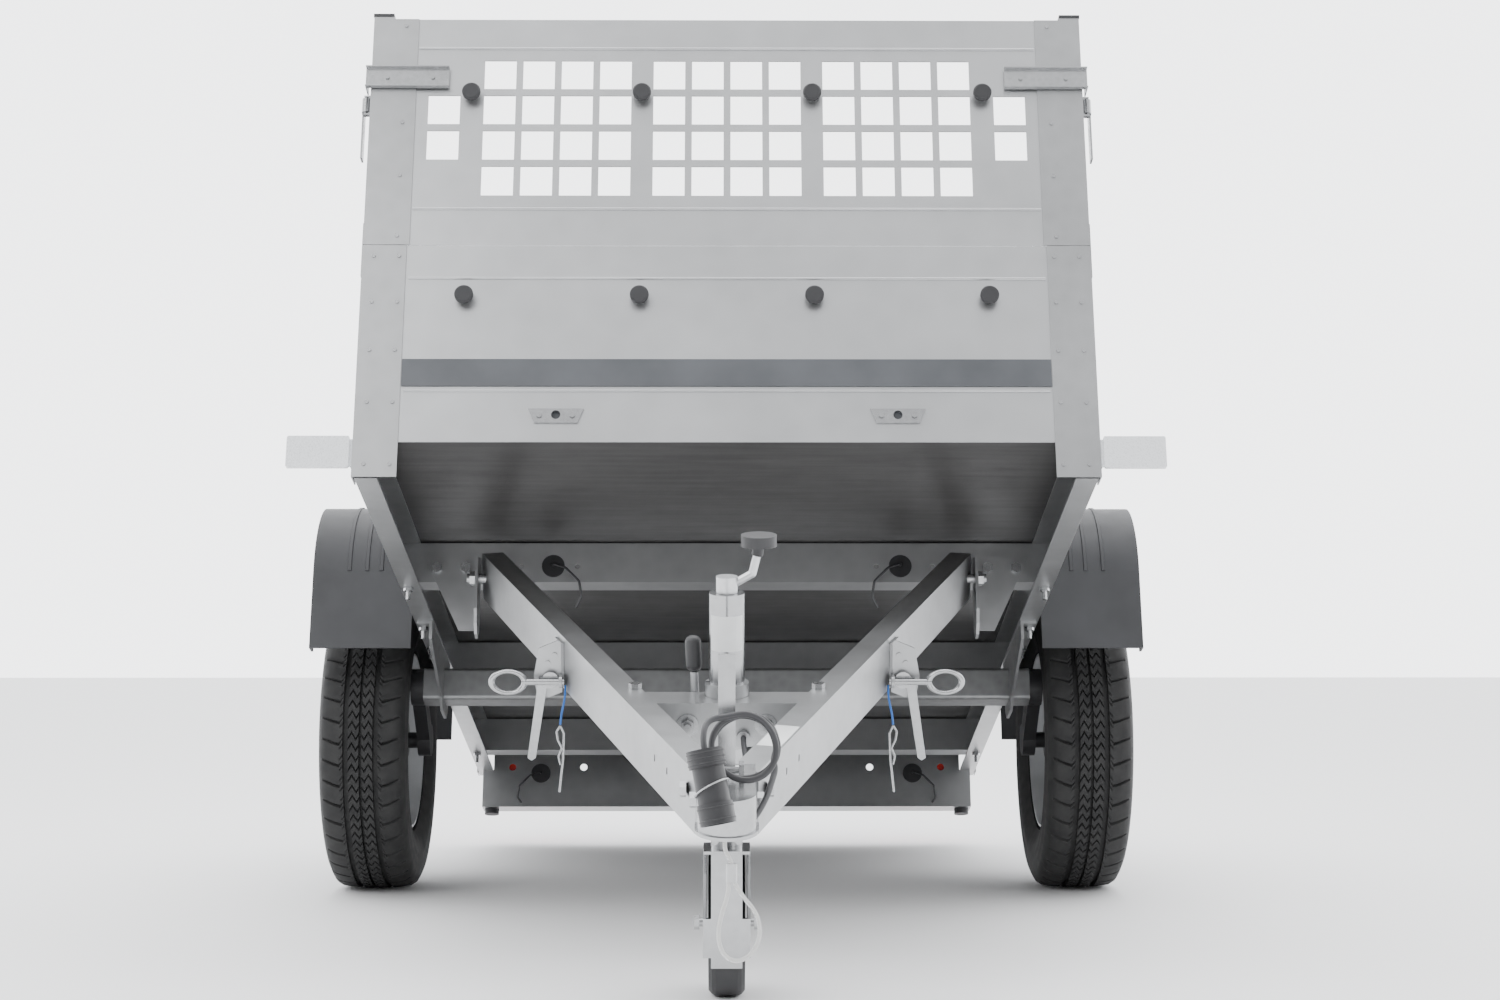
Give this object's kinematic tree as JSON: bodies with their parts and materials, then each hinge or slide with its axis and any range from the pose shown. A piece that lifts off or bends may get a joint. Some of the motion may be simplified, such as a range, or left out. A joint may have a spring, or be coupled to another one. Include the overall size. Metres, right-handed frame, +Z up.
{
  "type": "single-axle tipping box trailer",
  "caption": "Galvanised single-axle box trailer with perforated extension sides, tipping V drawbar, jockey wheel and ball coupling, shown with the bed tipped.",
  "frame": {"origin": "centre of the footprint, on the ground", "axes": "+Z up, +Y to the rear, -Y at the coupling end, +X to the side of the plug"},
  "size_m": [1.5, 3.1402, 1.4838],
  "materials": {
    "zinc_sheet": "galvanised satin",
    "zinc_profile": "galvanised satin",
    "axle_zinc": "hot-dip galvanised",
    "bright_zinc": "bright zinc plated",
    "jockey_zinc": "polished zinc plated",
    "crank_steel": "zinc plated with dark grip",
    "plywood": "dark phenolic film",
    "guard_plastic": "grained",
    "tyre_rubber": "matt",
    "rim_steel": "satin silver",
    "hub_black": "satin black",
    "knob_rubber": "matt",
    "cap_plastic": "matt",
    "reflector_white": "prismatic",
    "lamp_red": "clear coat",
    "cable_jacket": "satin",
    "plug_plastic": "satin",
    "safety_rope": "sleeved rope",
    "ferrule_metal": "crimped",
    "string_blue": "braided",
    "jockey_rubber": "matt"
  },
  "bodies": {
    "bed": {"side_rails": "zinc_profile", "crossmembers": "zinc_profile", "floor_board": "plywood", "front_panel": "zinc_sheet", "side_panels": "zinc_sheet", "corner_posts": "zinc_profile", "extension_front": "zinc_sheet", "extension_sides": "zinc_sheet", "extension_posts": "zinc_profile", "post_caps": "cap_plastic", "lashing_knobs": "knob_rubber", "striker_plates": "bright_zinc", "front_reflectors": "reflector_white", "post_rivets": "bright_zinc", "lamp_beam": "zinc_profile", "rubber_fittings": "knob_rubber", "tail_lamps": "lamp_red", "lamp_leads": "cable_jacket", "hinge_brackets": "zinc_profile", "bed_bolts": "bright_zinc", "axle_beam": "axle_zinc", "mudguards": "guard_plastic", "gate_pins": "bright_zinc", "corner_clamps": "bright_zinc"},
    "drawbar": {"drawbar_arm_left": "zinc_profile", "drawbar_arm_right": "zinc_profile", "drawbar_bolts": "bright_zinc", "cross_plate": "zinc_profile", "coupling_head": "bright_zinc", "latch_brackets": "zinc_profile", "plug_cable": "cable_jacket", "plug_cable_coil": "cable_jacket", "plug": "plug_plastic", "safety_cable": "safety_rope", "safety_ferrule": "ferrule_metal", "clip_strings": "string_blue", "spring_clips": "bright_zinc"},
    "wheel_left": {"tyre_left": "tyre_rubber", "rim_left": "rim_steel", "hub_left": "hub_black"},
    "wheel_right": {"tyre_right": "tyre_rubber", "rim_right": "rim_steel", "hub_right": "hub_black"},
    "tailgate": {"tailgate": "zinc_sheet"},
    "extension_flap": {"extension_flap": "zinc_sheet"},
    "toggle_left": {"toggle_left": "bright_zinc"},
    "toggle_right": {"toggle_right": "bright_zinc"},
    "torsion_arm_left": {"torsion_arm_left": "axle_zinc"},
    "torsion_arm_right": {"torsion_arm_right": "axle_zinc"},
    "clamp_screw": {"clamp_screw": "crank_steel"},
    "coupling_handle": {"coupling_handle": "bright_zinc"},
    "latch_lever_left": {"latch_lever_left": "bright_zinc"},
    "latch_lever_right": {"latch_lever_right": "bright_zinc"},
    "lock_pin_left": {"lock_pin_left": "bright_zinc"},
    "lock_pin_right": {"lock_pin_right": "bright_zinc"},
    "jockey_outer_tube": {"jockey_outer_tube": "jockey_zinc"},
    "crank": {"crank": "crank_steel"},
    "jockey_inner_tube": {"jockey_inner_tube": "jockey_zinc"},
    "jockey_fork": {"jockey_fork": "jockey_zinc"},
    "jockey_wheel": {"jockey_wheel": "jockey_rubber"}
  },
  "joints": [
    {"name": "tip_hinge", "type": "hinge", "parent": "bed", "child": "drawbar", "pos_m": [0, -0.14311, 0.58304], "axis": [1, 0, 0], "range_deg": [-29.5, 0]},
    {"name": "torsion_left", "type": "hinge", "parent": "bed", "child": "torsion_arm_left", "pos_m": [-0.566, 0.32242, 0.38361], "axis": [1, 0, 0], "range_deg": [-8, 15], "stiffness_Nm_per_rad": 1700, "springref_deg": -2.18},
    {"name": "wheel_spin_left", "type": "hinge", "parent": "torsion_arm_left", "child": "wheel_left", "pos_m": [-0.663, 0.4291, 0.279], "axis": [1, 0, 0], "continuous": true},
    {"name": "torsion_right", "type": "hinge", "parent": "bed", "child": "torsion_arm_right", "pos_m": [0.566, 0.32242, 0.38361], "axis": [1, 0, 0], "range_deg": [-8, 15], "stiffness_Nm_per_rad": 1700, "springref_deg": -2.18},
    {"name": "wheel_spin_right", "type": "hinge", "parent": "torsion_arm_right", "child": "wheel_right", "pos_m": [0.663, 0.4291, 0.279], "axis": [1, 0, 0], "continuous": true},
    {"name": "tailgate_hinge", "type": "hinge", "parent": "bed", "child": "tailgate", "pos_m": [0, 1.35988, 0.23482], "axis": [-1, 0, 0], "range_deg": [0, 170]},
    {"name": "flap_hinge", "type": "hinge", "parent": "bed", "child": "extension_flap", "pos_m": [0, 1.44509, 0.52247], "axis": [-1, 0, 0], "range_deg": [0, 115]},
    {"name": "toggle_left_swing", "type": "hinge", "parent": "bed", "child": "toggle_left", "pos_m": [-0.576, -0.42033, 1.33368], "axis": [0, 0.284, 0.9588], "range_deg": [0, 100]},
    {"name": "toggle_right_swing", "type": "hinge", "parent": "bed", "child": "toggle_right", "pos_m": [0.576, -0.42033, 1.33368], "axis": [0, 0.284, 0.9588], "range_deg": [-100, 0]},
    {"name": "coupling_handle_lift", "type": "hinge", "parent": "drawbar", "child": "coupling_handle", "pos_m": [0, -1.47328, 0.34778], "axis": [1, 0, 0], "range_deg": [-25, 0]},
    {"name": "latch_left_swing", "type": "hinge", "parent": "drawbar", "child": "latch_lever_left", "pos_m": [-0.259, -0.69798, 0.43031], "axis": [0, 0.9744, 0.225], "range_deg": [0, 120]},
    {"name": "latch_right_swing", "type": "hinge", "parent": "drawbar", "child": "latch_lever_right", "pos_m": [0.259, -0.69798, 0.43031], "axis": [0, 0.9744, 0.225], "range_deg": [-120, 0]},
    {"name": "lock_pin_left_pull", "type": "slide", "parent": "drawbar", "child": "lock_pin_left", "axis": [-1, 0, 0], "range_m": [0, 0.04]},
    {"name": "lock_pin_right_pull", "type": "slide", "parent": "drawbar", "child": "lock_pin_right", "axis": [1, 0, 0], "range_m": [0, 0.04]},
    {"name": "clamp_turn", "type": "hinge", "parent": "drawbar", "child": "clamp_screw", "pos_m": [-0.042, -1.0064, 0.38373], "axis": [0, 0.9744, 0.225], "range_deg": [-40, 0]},
    {"name": "jockey_slide", "type": "slide", "parent": "drawbar", "child": "jockey_outer_tube", "axis": [0, -0.225, 0.9744], "range_m": [-0.1, 0.08]},
    {"name": "crank_turn", "type": "hinge", "parent": "jockey_outer_tube", "child": "crank", "pos_m": [0, -1.046, 0.55522], "axis": [0, -0.225, 0.9744], "range_deg": [-12000, 60]},
    {"name": "jockey_screw_slide", "type": "slide", "parent": "jockey_outer_tube", "child": "jockey_inner_tube", "axis": [0, -0.225, 0.9744], "range_m": [-0.201, 0.0012]},
    {"name": "fork_swivel", "type": "hinge", "parent": "jockey_inner_tube", "child": "jockey_fork", "pos_m": [0, -0.96771, 0.21614], "axis": [0, -0.225, 0.9744], "continuous": true},
    {"name": "jockey_wheel_spin", "type": "hinge", "parent": "jockey_fork", "child": "jockey_wheel", "pos_m": [0, -0.90571, 0.1], "axis": [1, 0, 0], "continuous": true}
  ],
  "couplings": [
    {"joint": "jockey_screw_slide", "follows": "crank_turn", "m_per_rad": 0.00095493}
  ]
}
